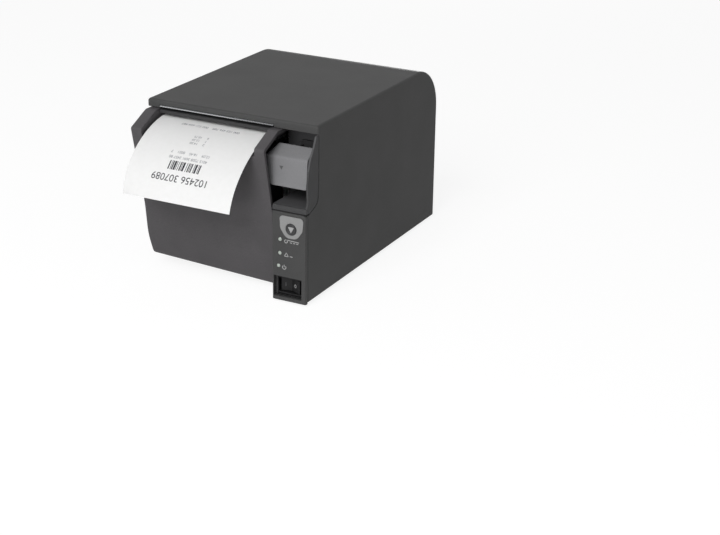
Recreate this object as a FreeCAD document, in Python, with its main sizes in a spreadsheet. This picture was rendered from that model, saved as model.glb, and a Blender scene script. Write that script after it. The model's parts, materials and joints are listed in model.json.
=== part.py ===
import FreeCAD, Part
import math
import os
import Sketcher
from FreeCAD import Placement, Rotation, Vector

# A front-loading receipt printer. Millimetres: X to the right, Y to the back, Z up from the table.
# Depths below are written from the middle of the case; case_shift moves them all,
# so that the whole outline, hanging receipt included, is centred on the origin.

SIZES = {
    "case_width": 125, "case_depth": 194, "case_height": 114, "case_shift": 14,
    "wall": 2.5, "rear_round": 30, "lip_front": -75.6, "lip_low": 108.6, "slot_low": 110.4,
    "case_low": 2.4, "base_low": 2, "side_start": -60.5,
    "cover_left": -62, "cover_right": 36.6, "cover_top": 108.2, "cover_low": 3, "cover_low_left": 8,
    "cover_back": -61, "brow_y": -79.8, "nose_y": -97.1, "nose_z": 100.1,
    "waist_y": -84.9, "waist_z": 45, "knee_y": -82.4, "knee_z": 23, "toe_slope": 0.37,
    "ramp_y": -72, "ramp_z": 102.6, "ramp_slope": 0.32, "ear_left": -53.3, "ear_right": 29.3,
    "hinge_y": -66, "hinge_z": 13, "hinge_radius": 2,
    "paper_mid": -12, "paper_width": 79.5, "paper_thick": 0.2, "mouth_z": 104.1,
    "paper_plane": -52.3, "tongue_radius": 65.8, "tongue_sweep": 64,
    "platen_y": -59, "platen_z": 86, "platen_radius": 6.4, "shaft_radius": 2.5,
    "frame_left": -55, "frame_right": 30.8, "frame_thick": 1.2, "frame_front": -52.5,
    "gear_left": -58.6, "gear_right": -55.2, "tooth_module": 0.6,
    "platen_teeth": 30, "idler_teeth": 40, "pinion_teeth": 18, "wheel_teeth": 36,
    "roll_y": 14, "roll_z": 44.3, "roll_radius": 34, "core_radius": 9, "core_bore": 6,
    "cradle_radius": 43.5, "blade_low": 98.2, "blade_thick": 1, "cutter_plate": 96.3,
    "cutter_x": 18.6, "cutter_y": -32,
    "panel_front": -91, "panel_left": 38.2, "panel_top": 60.6, "panel_low": 1.4,
    "button_x": 52.1, "button_z": 50.3, "button_radius": 3.7, "lens_radius": 1.3,
    "lever_left": 31.8, "lever_right": 60.6, "ledge_low": 61.2, "ledge_top": 64.8,
    "fold_y": -86, "fold_z": 94.3, "lever_back": -76, "lever_top": 99.9, "lever_low": 75.2,
    "lever_wall": 2.4, "pivot_y": -70, "pivot_z": 93, "pin_radius": 1.5,
    "switch_x": 49.2, "switch_z": 10.6, "board_y": 79, "board_thick": 1.6,
    "rear_plate": 91.5, "foot_radius": 6.5, "foot_x": 48, "foot_front": -48, "foot_rear": 82,
}


class Dim:
    """A size with its value and the sheet formula that gives it."""

    def __init__(self, value, text):
        self.value = float(value)
        self.text = text

    def __add__(self, other):
        other = as_dim(other)
        return Dim(self.value + other.value, f"({self.text} + {other.text})")

    def __sub__(self, other):
        other = as_dim(other)
        return Dim(self.value - other.value, f"({self.text} - {other.text})")

    def __mul__(self, other):
        other = as_dim(other)
        return Dim(self.value * other.value, f"({self.text} * {other.text})")

    def __truediv__(self, other):
        other = as_dim(other)
        return Dim(self.value / other.value, f"({self.text} / {other.text})")

    def __radd__(self, other):
        return as_dim(other) + self

    def __rsub__(self, other):
        return as_dim(other) - self

    def __rmul__(self, other):
        return as_dim(other) * self

    def __neg__(self):
        return as_dim(0) - self


def as_dim(size):
    return size if isinstance(size, Dim) else Dim(size, f"({size})")


doc = FreeCAD.newDocument("receipt_printer")
sheet = doc.addObject("Spreadsheet::Sheet", "Dims")


class Sheet:
    pass


d = Sheet()
for row, (name, value) in enumerate(SIZES.items(), 1):
    sheet.set(f"A{row}", name)
    sheet.set(f"B{row}", str(value))
    sheet.setAlias(f"B{row}", name)
doc.recompute()
for name in SIZES:
    setattr(d, name, Dim(sheet.get(name), f"Dims.{name}"))

NODES = []


def node(label, obj):
    """Marks an object as a finished sub-part; the label names its file."""
    obj.Label = label
    NODES.append(obj)
    return obj


def bind(obj, prop, size):
    obj.setExpression(prop, as_dim(size).text)


# Solids from primitives

ALONG = {
    "x": Rotation(Vector(0, 1, 0), 90),
    "y": Rotation(Vector(1, 0, 0), -90),
    "z": Rotation(),
}


def put(obj, x, y, z):
    bind(obj, "Placement.Base.x", x)
    bind(obj, "Placement.Base.y", as_dim(y) + d.case_shift)
    bind(obj, "Placement.Base.z", z)
    return obj


def box(x, y, z):
    """A block; each argument is the pair of planes that bound it on that axis."""
    obj = doc.addObject("Part::Box", "block")
    for prop, (low, high) in zip(("Length", "Width", "Height"), (x, y, z)):
        bind(obj, prop, as_dim(high) - low)
    return put(obj, x[0], y[0], z[0])


def rod(axis, radius, span, across):
    """A cylinder along an axis; across gives the other two coordinates in order."""
    obj = doc.addObject("Part::Cylinder", "rod")
    bind(obj, "Radius", radius)
    bind(obj, "Height", as_dim(span[1]) - span[0])
    obj.Placement = Placement(Vector(), ALONG[axis])
    spot = list(across)
    spot.insert("xyz".index(axis), span[0])
    return put(obj, *spot)


def fuse(*parts):
    obj = doc.addObject("Part::MultiFuse", "joined")
    obj.Shapes = list(parts)
    return obj


def cut(base, *tools):
    obj = doc.addObject("Part::Cut", "trimmed")
    obj.Base = base
    obj.Tool = tools[0] if len(tools) == 1 else fuse(*tools)
    return obj


def common(one, two):
    obj = doc.addObject("Part::Common", "shared")
    obj.Base = one
    obj.Tool = two
    return obj


def group(*parts):
    """Separate solids of one kind, kept as one sub-part."""
    obj = doc.addObject("Part::Compound", "group")
    obj.Links = list(parts)
    return obj


def tube(axis, outer, inner, span, across):
    return cut(rod(axis, outer, span, across), rod(axis, inner, span, across))


# Bodies from sketches

PLANES = {"x": "YZ_Plane", "y": "XZ_Plane", "z": "XY_Plane"}


def new_body(name):
    return doc.addObject("PartDesign::Body", name)


def new_sketch(body, axis, level):
    plane = [o for o in body.Origin.OriginFeatures if o.Role == PLANES[axis]][0]
    sketch = body.newObject("Sketcher::SketchObject", "outline")
    sketch.AttachmentSupport = [(plane, "")]
    sketch.MapMode = "FlatFace"
    level = as_dim(level)
    if axis == "y":
        level = -(level + d.case_shift)
    bind(sketch, "AttachmentOffset.Base.z", level)
    return sketch


def flat(axis, point):
    """A sketch point; the one that is a depth gets the case's shift."""
    u, v = (as_dim(c) for c in point)
    if axis == "x":
        u = u + d.case_shift
    if axis == "z":
        v = v + d.case_shift
    return u, v


def hold(sketch, geo, pos, point):
    for kind, size in zip(("DistanceX", "DistanceY"), point):
        index = sketch.addConstraint(Sketcher.Constraint(kind, -1, 1, geo, pos, size.value))
        sketch.setExpression(f"Constraints[{index}]", size.text)


def draw_outline(sketch, axis, points):
    corners = [flat(axis, p) for p in points]
    spots = [Vector(u.value, v.value, 0) for u, v in corners]
    for i, spot in enumerate(spots):
        sketch.addGeometry(Part.LineSegment(spot, spots[(i + 1) % len(spots)]), False)
    for i, corner in enumerate(corners):
        sketch.addConstraint(Sketcher.Constraint("Coincident", i - 1 if i else len(spots) - 1, 2, i, 1))
        hold(sketch, i, 1, corner)


def draw_circle(sketch, axis, centre, radius):
    u, v = flat(axis, centre)
    radius = as_dim(radius)
    geo = sketch.addGeometry(Part.Circle(Vector(u.value, v.value, 0), Vector(0, 0, 1), radius.value), False)
    hold(sketch, geo, 3, (u, v))
    index = sketch.addConstraint(Sketcher.Constraint("Radius", geo, radius.value))
    sketch.setExpression(f"Constraints[{index}]", radius.text)


def shape_feature(body, kind, axis, span, draw):
    low, high = (as_dim(s) for s in span)
    add = kind == "PartDesign::Pad"
    start = low if add == (axis != "y") else high
    sketch = new_sketch(body, axis, start)
    draw(sketch)
    feature = body.newObject(kind, "feature")
    feature.Profile = sketch
    feature.Type = 0
    bind(feature, "Length", high - low)
    sketch.Visibility = False
    return feature


def pad(body, axis, points, span):
    def draw(sketch):
        draw_outline(sketch, axis, points)

    return shape_feature(body, "PartDesign::Pad", axis, span, draw)


def pocket(body, axis, points, span):
    def draw(sketch):
        draw_outline(sketch, axis, points)

    return shape_feature(body, "PartDesign::Pocket", axis, span, draw)


def boss(body, axis, centre, radius, span):
    def draw(sketch):
        draw_circle(sketch, axis, centre, radius)

    return shape_feature(body, "PartDesign::Pad", axis, span, draw)


def hole(body, axis, centre, radius, span):
    def draw(sketch):
        draw_circle(sketch, axis, centre, radius)

    return shape_feature(body, "PartDesign::Pocket", axis, span, draw)


def rectangle(u, v):
    return [(u[0], v[0]), (u[1], v[0]), (u[1], v[1]), (u[0], v[1])]


def lies(x=None, y=None, z=None):
    """Picks edges that lie at these coordinates, or inside these ranges."""

    def pick(edge):
        b = edge.BoundBox
        move = d.case_shift.value
        spans = ((x, b.XMin, b.XMax), (y, b.YMin - move, b.YMax - move), (z, b.ZMin, b.ZMax))
        for want, low, high in spans:
            if want is None:
                continue
            least, most = want if isinstance(want, tuple) else (want, want)
            if low < least - 0.03 or high > most + 0.03:
                return False
        return True

    return pick


def round_edges(body, radius, *picks):
    doc.recompute()
    tip = body.Tip
    names = [f"Edge{i}" for i, e in enumerate(tip.Shape.Edges, 1) if any(p(e) for p in picks)]
    if not names:
        raise ValueError(f"no edges to round on {body.Name}")
    feature = body.newObject("PartDesign::Fillet", "rounding")
    feature.Base = (tip, names)
    bind(feature, "Radius", radius)
    return feature


# Shapes by formula

def feature(shape):
    obj = doc.addObject("Part::Feature", "formed")
    obj.Shape = shape
    obj.Placement = Placement(Vector(0, d.case_shift.value, 0), Rotation()) * obj.Placement
    return obj


TURN_TO_X = Rotation(Vector(1, 1, 1), 120)


def involute_flank(base, low, high, half):
    """Points of one flank from the root out; half is the half tooth angle at the base circle."""
    points = []
    for i in range(5):
        radius = low + (high - low) * i / 4
        grow = math.sqrt(max(radius * radius / base / base - 1, 0))
        angle = half - (grow - math.atan(grow))
        points.append((radius, angle))
    return points


def gear_face(teeth, phase):
    """A spur gear's outline with involute flanks and a little backlash; phase is a tooth's angle."""
    module = d.tooth_module.value
    teeth = int(teeth.value)
    pitch = module * teeth / 2
    base = pitch * math.cos(math.radians(20))
    root = pitch - 1.25 * module
    tip = pitch + 0.95 * module
    lean = math.tan(math.radians(20)) - math.radians(20)
    half = math.pi / (2 * teeth) - 0.04 / pitch + lean
    flank = involute_flank(base, max(base, root), tip, half)

    def spot(radius, angle):
        return Vector(radius * math.cos(angle), radius * math.sin(angle), 0)

    edges = []
    for i in range(teeth):
        mid = phase + 2 * math.pi * i / teeth
        after = mid + 2 * math.pi / teeth
        up = [spot(r, mid - a) for r, a in flank]
        down = [spot(r, mid + a) for r, a in reversed(flank)]
        edges.append(Part.LineSegment(spot(root, mid - half), up[0]).toShape())
        curve = Part.BSplineCurve()
        curve.interpolate(up)
        edges.append(curve.toShape())
        edges.append(Part.Arc(up[-1], spot(tip, mid), down[0]).toShape())
        curve = Part.BSplineCurve()
        curve.interpolate(down)
        edges.append(curve.toShape())
        edges.append(Part.LineSegment(down[-1], spot(root, mid + half)).toShape())
        valley = [spot(root, a) for a in (mid + half, (mid + after) / 2, after - half)]
        edges.append(Part.Arc(*valley).toShape())
    return Part.Face(Part.Wire(edges))


def gear_along_x(teeth, phase, bore, y, z):
    shape = gear_face(teeth, phase).extrude(Vector(0, 0, (d.gear_right - d.gear_left).value))
    shape = shape.cut(Part.makeCylinder(bore, 20, Vector(0, 0, -5)))
    shape.Placement = Placement(Vector(d.gear_left.value, y, z), TURN_TO_X)
    return shape


def gear_along_z(teeth, phase, x, y, low, high):
    shape = gear_face(teeth, phase).extrude(Vector(0, 0, high - low))
    shape.translate(Vector(x, y, low))
    return shape


def strip_shape(path, low_x, high_x, thick):
    """A sheet of even thickness; the path is a list of edges in the YZ plane, seen along X."""
    wire = Part.Wire(path)
    face = wire.makeOffset2D(thick / 2, fill=False, openResult=True)
    other = wire.makeOffset2D(-thick / 2, fill=False, openResult=True)
    ends = []
    for a, b in zip((face.OrderedVertexes[0], face.OrderedVertexes[-1]),
                    (other.OrderedVertexes[0], other.OrderedVertexes[-1])):
        ends.append(Part.LineSegment(a.Point, b.Point).toShape())
    loop = Part.Wire(Part.__sortEdges__(face.Edges + other.Edges + ends))
    solid = Part.Face(loop).extrude(Vector(high_x - low_x, 0, 0))
    solid.translate(Vector(low_x, 0, 0))
    return solid


def arc_yz(centre, radius, start, end):
    """An arc about an X axis; angles in degrees from +Y towards +Z."""
    spots = []
    for angle in (start, (start + end) / 2, end):
        turn = math.radians(angle)
        spots.append(Vector(0, centre[0] + radius * math.cos(turn), centre[1] + radius * math.sin(turn)))
    return Part.Arc(*spots).toShape(), spots[0], spots[2]


def line_yz(start, end):
    return Part.LineSegment(start, end).toShape()


half_width = d.case_width / 2
half_depth = d.case_depth / 2
inner_x = half_width - d.wall
paper_left = d.paper_mid - d.paper_width / 2
paper_right = d.paper_mid + d.paper_width / 2


# Case

def make_top_case():
    body = new_body("top_case")
    top = d.case_height
    pad(body, "x", [(d.lip_front, top), (half_depth, top), (half_depth, d.case_low),
                    (d.side_start, d.case_low), (d.side_start, d.lip_low), (d.lip_front, d.lip_low)],
        (-half_width, half_width))
    round_edges(body, d.rear_round, lies(y=97, z=114))
    round_edges(body, 2, lies(x=62.5, y=97, z=(2, 84)), lies(x=-62.5, y=97, z=(2, 84)))
    round_edges(body, 1.5, lies(y=-75.6, z=114))
    pad(body, "x", [(-58, d.case_low), (-88.3, d.case_low), (-88.3, 60), (-75.6, 64.6), (-74.4, 78),
                    (-74.4, d.lip_low + 0.5), (-58, d.lip_low + 0.5)], (inner_x, half_width))
    round_edges(body, 5, lies(x=(60, 62.5), y=-75.6, z=64.6))
    bend = (half_depth - d.rear_round, top - d.rear_round)
    pocket(body, "x", [(d.lip_front + d.wall, top - d.wall), (bend[0], top - d.wall), bend,
                       (half_depth - d.wall, bend[1]), (half_depth - d.wall, 0), (-100, 0), (-100, 100),
                       (d.lip_front + d.wall, 100)], (-inner_x, inner_x))
    hole(body, "x", bend, d.rear_round - d.wall, (-inner_x, inner_x))
    pocket(body, "x", rectangle((-78, -70), (107, d.slot_low)), (-53.5, 31))
    pocket(body, "y", rectangle((-54, 54), (0, 44)), (90, 98))
    return node("top_case", body)


def make_base_tray():
    plate = box((-59.8, 59.8), (-57.5, 94.2), (d.base_low, d.base_low + 2.5))
    column = box((40.4, 59.8), (-88, -57.5), (d.base_low, d.base_low + 2.5))
    rims = [box((-59.8, -58.2), (-57.5, 94.2), (4, 9)), box((58.2, 59.8), (-57.5, 94.2), (4, 9)),
            box((-59.8, 59.8), (-57.5, -56), (4, 6.5))]
    arms = []
    bores = []
    for left in (-46, 16):
        span = (left, left + 6)
        arms.append(rod("x", 3.5, span, (d.hinge_y, d.hinge_z)))
        arms.append(box(span, (d.hinge_y, -56), (d.hinge_z - 2, d.hinge_z + 2)))
        arms.append(box(span, (-57.5, -54), (3, d.hinge_z + 2)))
        bores.append(rod("x", d.hinge_radius + 0.05, (left - 1, left + 7), (d.hinge_y, d.hinge_z)))
    for x in (-d.foot_x, d.foot_x):
        for y in (d.foot_front, d.foot_rear):
            bores.append(rod("z", d.foot_radius + 0.1, (1, 2.6), (x, y)))
    return node("base_tray", cut(fuse(plate, column, *rims, *arms), *bores))


def make_control_panel():
    body = new_body("control_panel")
    front = d.panel_front
    skin = front + d.wall
    pad(body, "y", rectangle((d.panel_left, half_width - 0.05), (d.panel_low, d.panel_top)), (front, skin))
    round_edges(body, 3, lies(x=62.45, z=60.6))
    round_edges(body, 1.2, lies(y=-91, x=62.45, z=(1, 60)), lies(y=-91, z=60.6),
                lies(y=-91, x=38.2, z=(1, 61)))
    pad(body, "x", rectangle((skin - 1, -66), (d.panel_low, d.panel_top)), (d.panel_left, d.panel_left + 2))
    pad(body, "x", rectangle((skin - 1, -74), (d.panel_top - 2.4, d.panel_top)),
        (d.panel_left + 1, inner_x - 0.3))
    hole(body, "y", (d.button_x, d.button_z), d.button_radius + 0.2, (front - 1, skin + 1))
    for x, z in LENSES:
        hole(body, "y", (x, z), d.lens_radius + 0.02, (front - 1, skin + 1))
    pocket(body, "y", rectangle((39.4, 59.2), (3.9, 17.6)), (front - 1, skin + 1))
    return node("control_panel", body)


LENSES = ((44, 42.4), (43.8, 33.2), (42.8, 24.6))


def make_panel_parts():
    body = new_body("button_surround")
    low = 44.2
    pad(body, "y", [(43.9, 58.6), (61, 58.6), (60.2, 50), (56, low), (48.4, low), (44.4, 50)],
        (d.panel_front - 0.3, d.panel_front))
    round_edges(body, 2.5, lies(x=43.9, z=58.6), lies(x=61, z=58.6))
    round_edges(body, 5, lies(x=56, z=low), lies(x=48.4, z=low), lies(x=60.2, z=50), lies(x=44.4, z=50))
    hole(body, "y", (d.button_x, d.button_z), d.button_radius + 0.2, (d.panel_front - 2, d.panel_front + 1))
    node("button_surround", body)
    lenses = [rod("y", d.lens_radius, (d.panel_front - 0.2, d.panel_front + 5.8), spot) for spot in LENSES]
    node("led_lenses", group(*lenses))
    board = box((41, 58), (-85, -83.4), (20, 57))
    switch = box((d.button_x - 3, d.button_x + 3), (-86.4, -85), (d.button_z - 3, d.button_z + 3))
    node("panel_board", fuse(board, switch))
    front, spot = d.panel_front, (d.button_x, d.button_z)
    face = rod("y", d.button_radius, (front - 0.9, front + 2.4), spot)
    stem = rod("y", 1.5, (front + 2, front + 3.2), spot)
    flange = rod("y", d.button_radius + 0.9, (front + 2.8, front + 3.3), spot)
    node("feed_button", fuse(face, stem, flange))


def make_power_switch():
    x, z = d.switch_x, d.switch_z
    outer = box((40.4, 59.1), (d.panel_front + 3.4, -74), (4.7, 17.5))
    well = box((x - 8.2, x + 8.2), (d.panel_front + 3, -77), (z - 4.7, z + 4.7))
    node("switch_frame", fuse(cut(outer, well), rod("z", 1, (z - 5, z + 5), (x, -82))))
    body = new_body("power_rocker")
    pad(body, "z", [(x - 7.3, -86.5), (x, -84.8), (x + 7.1, -88), (x + 7.5, -83.8), (x + 2.6, -79.4),
                    (x - 2.4, -79.8), (x - 6.9, -82.2)], (z - 4.4, z + 4.4))
    round_edges(body, 0.6, lies(x=41.9, y=-86.5), lies(x=56.3, y=-88))
    hole(body, "z", (x, -82), 1.05, (0, 30))
    node("power_rocker", body)


# Front cover

def along_toe(z):
    """Depth of the cover's lower front at a height."""
    return d.knee_y + (d.knee_z - z) * d.toe_slope


# The inside of the cover's front, from under the nose to below the toe
SKIN_LINE = [(-93.2, 93.5), (-82.5, 45.3), (-80.05, 23.5), (-72.75, 3.8)]


def make_front_cover():
    body = new_body("front_cover")
    pad(body, "x", [(d.cover_back, d.cover_top), (d.brow_y, d.cover_top), (d.nose_y, d.nose_z),
                    (d.waist_y, d.waist_z), (d.knee_y, d.knee_z), (along_toe(0), 0), (d.cover_back, 0)],
        (d.cover_left, d.cover_right))
    fall = (d.cover_low_left - d.cover_low) / (d.cover_right - d.cover_left)
    pocket(body, "y", [(d.cover_left - 1, -1), (d.cover_left - 1, d.cover_low_left + fall),
                       (d.cover_right + 1, d.cover_low - fall), (d.cover_right + 1, -1)], (-104, -55))
    round_edges(body, 2, lies(y=-97.1, z=100.1))
    round_edges(body, 50, lies(y=-84.9, z=45), lies(y=-82.4, z=23))
    round_edges(body, 4, lies(y=(-77, -74.9), z=(3, 8.1)))
    round_edges(body, 4, lies(y=-61, z=(3, 8.1)))
    round_edges(body, 2, lies(y=-79.8, z=108.2))
    round_edges(body, 2, lies(x=-62, y=(-98, -63), z=(10, 109)))
    inside = [(-50, 100.3), (d.ramp_y, 100.3), *SKIN_LINE, (-71.3, 0), (-50, 0)]
    pocket(body, "x", inside, (d.cover_left + d.wall, d.cover_right + 2))
    for span in ((d.cover_left + d.wall, d.ear_left - 1.6), (d.ear_right + 1.6, d.cover_right + 2)):
        pocket(body, "x", [(-50, 105.4), (-80.4, 105.4), (-94.4, 98.8), SKIN_LINE[1], (-50, 45.3)], span)
    far = d.nose_y - 3
    end_z = d.ramp_z + (far - d.ramp_y) * d.ramp_slope
    pocket(body, "x", [(-50, d.ramp_z), (d.ramp_y, d.ramp_z), (far, end_z), (far, 120), (-50, 120)],
           (d.ear_left, d.ear_right))
    return node("front_cover", body)


def make_cover_frame():
    body = new_body("cover_frame")
    hinge = d.hinge_z
    sides = [(-70, hinge - 3.5), (-76.6, 14.19), SKIN_LINE[2], SKIN_LINE[1], (-92.4, 89.9), (-75.6, 96.6),
             (-54.5, 96.6), (-54.5, 81), (-63, 74), (-63, hinge - 3.5)]
    left, right = (-54.6, -53), (28.8, 30.4)
    pad(body, "x", [(-69, hinge + 5), (-69.5, 74), (-66, 74), (-63, hinge + 5)], (-54, 30))
    for span in (left, right):
        pad(body, "x", sides, span)
    pad(body, "x", rectangle((-75.4, -57.4), (94.2, 96.6)), (-53.4, 29.2))
    for span in ((-53, -46.6), (-39.4, -34), (10, 15.4), (22.6, 28.9)):
        pad(body, "x", rectangle((-69, -63), (hinge - 3, hinge + 6)), span)
    hole(body, "x", (d.hinge_y, d.hinge_z), d.hinge_radius, (-60, 36))
    hole(body, "x", (d.platen_y, d.platen_z), 4, (-60, 36))
    node("cover_frame", body)
    node("hinge_rod", rod("x", d.hinge_radius, (-54.4, 30.2), (d.hinge_y, d.hinge_z)))
    blade = new_body("fixed_blade")
    pad(blade, "x", [(-68, 96.6), (-68, 97.9), (-53.2, 97.9), (-54.2, 96.6)], (-52.6, 28.4))
    node("fixed_blade", blade)
    bushes = [tube("x", 4, d.shaft_radius + 0.05, span, (d.platen_y, d.platen_z))
              for span in ((-54.8, -52.8), (28.6, 30.6))]
    node("platen_bushes", group(*bushes))


# Paper drive

def make_platen():
    spot = (d.platen_y, d.platen_z)
    node("platen_shaft", fuse(rod("x", d.shaft_radius, (-58.9, 30.5), spot), rod("x", 2, (30, 31.7), spot)))
    rubber = tube("x", d.platen_radius, d.shaft_radius, (paper_left - 0.4, paper_right + 0.4), spot)
    node("platen_rubber", rubber)


def make_feed_gears():
    """The platen gear leaves the idler along the line of centres as the cover swings out."""
    module = d.tooth_module.value
    n_platen, n_idler, n_pinion = (d.platen_teeth.value, d.idler_teeth.value, d.pinion_teeth.value)
    py, pz = d.platen_y.value, d.platen_z.value
    gap = 0.1
    first = math.atan2(d.hinge_y.value - py, pz - d.hinge_z.value)
    reach = module * (n_platen + n_idler) / 2 + gap
    iy, iz = py + reach * math.cos(first), pz + reach * math.sin(first)
    second = math.radians(48)
    reach = module * (n_idler + n_pinion) / 2 + gap
    my, mz = iy + reach * math.cos(second), iz + reach * math.sin(second)
    idler_phase = first + math.pi + math.pi / n_idler
    share = (second - idler_phase) * n_idler / (2 * math.pi)
    pinion_phase = second + math.pi + share * 2 * math.pi / n_pinion + math.pi / n_pinion
    node("platen_gear", feature(gear_along_x(d.platen_teeth, first, 2.5, py, pz)))
    node("idler_gear", feature(gear_along_x(d.idler_teeth, idler_phase, 2.05, iy, iz)))
    stud = rod("x", 2, (-59.2, d.frame_left), (iy, iz))
    node("idler_stud", fuse(stud, rod("x", 3.2, (-59.4, -58.9), (iy, iz))))
    shaft = Part.makeCylinder(1.5, 18.7, Vector(-58.7, my, mz), Vector(1, 0, 0))
    node("motor_pinion", feature(gear_along_x(d.pinion_teeth, pinion_phase, 1.4, my, mz).fuse(shaft)))
    can = rod("x", 14, (-52.3, -36.5), (my, mz))
    flange = box((-53.8, -52.3), (my - 14, my + 14), (mz - 14, mz + 14))
    node("feed_motor", cut(fuse(can, flange), rod("x", 1.56, (-60, -39), (my, mz))))
    return (iy, iz), (my, mz)


def make_frames(idler, motor):
    top = 107
    for label, left in (("left_frame", d.frame_left), ("right_frame", d.frame_right)):
        body = new_body(label)
        pad(body, "x", [(d.frame_front, 82), (d.frame_front, top), (20, top), (56, 60), (56, 4.6),
                        (-20, 4.6), (-34, 60)], (left, left + d.frame_thick))
        hole(body, "x", HEAD_PIVOT, 1.05, (left - 1, left + 3))
        if label == "left_frame":
            hole(body, "x", motor, 4, (left - 1, left + 3))
        hole(body, "x", (d.roll_y, d.roll_z), 10, (left - 1, left + 3))
        node(label, body)


HEAD_PIVOT = (-49.6, 94.6)


def make_head():
    node("thermal_head", box((-52, 28), (-51.9, -50.9), (86.5, 95.5)))
    plate = box((-52.4, 28.4), (-50.9, -48.4), (85.6, 95.9))
    pins = [rod("x", 1, (-54.8, -52), HEAD_PIVOT), rod("x", 1, (28, 31.8), HEAD_PIVOT)]
    node("head_heatsink", fuse(plate, *pins))
    bracket = new_body("head_bracket")
    pad(bracket, "x", [(-43.6, 81), (-43.6, d.cutter_plate), (-42.4, d.cutter_plate), (-42.4, 81)],
        (d.frame_left + d.frame_thick, d.frame_right))
    node("head_bracket", bracket)
    springs = [spring_along_y(x, 90, -48.3, -43.6, 2.4, 0.3) for x in (-32, 8)]
    node("head_springs", feature(Part.makeCompound(springs)))


def spring_along_y(x, z, start, end, radius, wire):
    """Turns of wire as biarcs of a quarter turn each, swept with a round section."""
    turns = 4
    low, high = start + wire, end - wire
    rise = (high - low) / (2 * math.pi * turns)

    def spot(t):
        return Vector(x + radius * math.cos(t), low + rise * t, z + radius * math.sin(t))

    def heading(t):
        return Vector(-radius * math.sin(t), rise, radius * math.cos(t)).normalize()

    edges = []
    step = math.pi / 2
    for i in range(4 * turns):
        a, b = spot(i * step), spot((i + 1) * step)
        ta, tb = heading(i * step), heading((i + 1) * step)
        chord = b - a
        total = ta + tb
        square = 2 * (1 - ta.dot(tb))
        lead = chord.dot(total)
        reach = (math.sqrt(lead * lead + square * chord.dot(chord)) - lead) / square
        middle = (a + ta * reach + b - tb * reach) * 0.5
        edges.append(tangent_arc(a, middle, ta, True))
        edges.append(tangent_arc(middle, b, tb, False))
    spots = [spot(i * step / 6) for i in range(24 * turns + 1)]
    near = min((a - b).Length for i, a in enumerate(spots) for b in spots[i + 12:])
    print(f"spring of {turns} turns: least gap between turns {near - 2 * wire:.3f} mm")
    section = Part.Wire(Part.makeCircle(wire, spot(0), heading(0)))
    return Part.Wire(edges).makePipeShell([section], True, False)


def tangent_arc(start, end, tangent, at_start):
    """The arc between two points with this heading at its start, or at its end."""
    if not at_start:
        start, end, tangent = end, start, tangent * -1
    chord = end - start
    side = chord - tangent * chord.dot(tangent)
    radius = chord.dot(chord) / (2 * side.Length)
    inward = side.normalize()
    centre = start + inward * radius
    out = (start + end) * 0.5 - centre
    middle = centre + out.normalize() * radius
    if at_start:
        return Part.Arc(start, middle, end).toShape()
    return Part.Arc(end, middle, start).toShape()


def make_cutter():
    low = d.blade_low
    module = d.tooth_module.value
    cx, cy = d.cutter_x.value, d.cutter_y.value
    plate = new_body("cutter_frame")
    pad(plate, "z", [(-53.7, -51.2), (30.7, -51.2), (30.7, -12), (-34, -12), (-34, -42.4), (-53.7, -42.4)],
        (d.cutter_plate, d.cutter_plate + 1))
    reach = module * (d.pinion_teeth.value + d.wheel_teeth.value) / 2 + 0.1
    motor_spot = (cx - reach, cy)
    hole(plate, "z", motor_spot, 2, (90, 100))
    boss(plate, "z", (cx, cy), 1.5, (d.cutter_plate, 104.8))
    node("cutter_frame", plate)
    top = low.value
    wheel = gear_along_z(d.wheel_teeth, 0, cx, cy, top + 2.8, top + 5.8)
    pinion = gear_along_z(d.pinion_teeth, 0, cx, cy, top, top + 2.8)
    bore = Part.makeCylinder(1.55, 20, Vector(cx, cy, 90))
    node("cutter_gear", feature(wheel.fuse(pinion).cut(bore)))
    small = gear_along_z(d.pinion_teeth, math.pi / d.pinion_teeth.value, *motor_spot, top + 2.8, top + 5.8)
    node("cutter_pinion", feature(small.fuse(Part.makeCylinder(1, 15, Vector(*motor_spot, 89.2)))))
    can = rod("z", 9.5, (84, d.cutter_plate), motor_spot)
    node("cutter_motor", cut(can, rod("z", 1.06, (89, 98), motor_spot)))
    make_moving_blade(module, cx + module * d.pinion_teeth.value / 2 + 0.05, cy, top)


def make_moving_blade(module, pitch_x, mesh_y, low):
    """A guillotine blade with a rack on its right end; a gap of the rack faces the pinion."""
    pitch = math.pi * module
    lean = math.tan(math.radians(20))
    tip, root = pitch_x - 0.9 * module, pitch_x + 1.25 * module
    half = pitch / 4 - 0.04
    points = [(28, -20.6), (root, -20.6)]
    for k in range(5, -4, -1):
        mid = mesh_y + (k + 0.5) * pitch
        for x, sign in ((root, 1), (tip, 1), (tip, -1), (root, -1)):
            points.append((x, mid + sign * (half + (x - pitch_x) * lean)))
    points += [(root, -44.6), (28, -44.6)]
    spots = [Vector(x, y, low) for x, y in points]
    rack = Part.Face(Part.makePolygon(spots + spots[:1])).extrude(Vector(0, 0, 2.5))
    edge = [(-52.4, -51.4), (paper_middle(), -48.6), (28.4, -51.4), (28.4, -44), (-52.4, -44)]
    spots = [Vector(x, y, low) for x, y in edge]
    plate = Part.Face(Part.makePolygon(spots + spots[:1])).extrude(Vector(0, 0, d.blade_thick.value))
    node("moving_blade", feature(plate.fuse(rack).removeSplitter()))


def paper_middle():
    return d.paper_mid.value


# Paper

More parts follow.
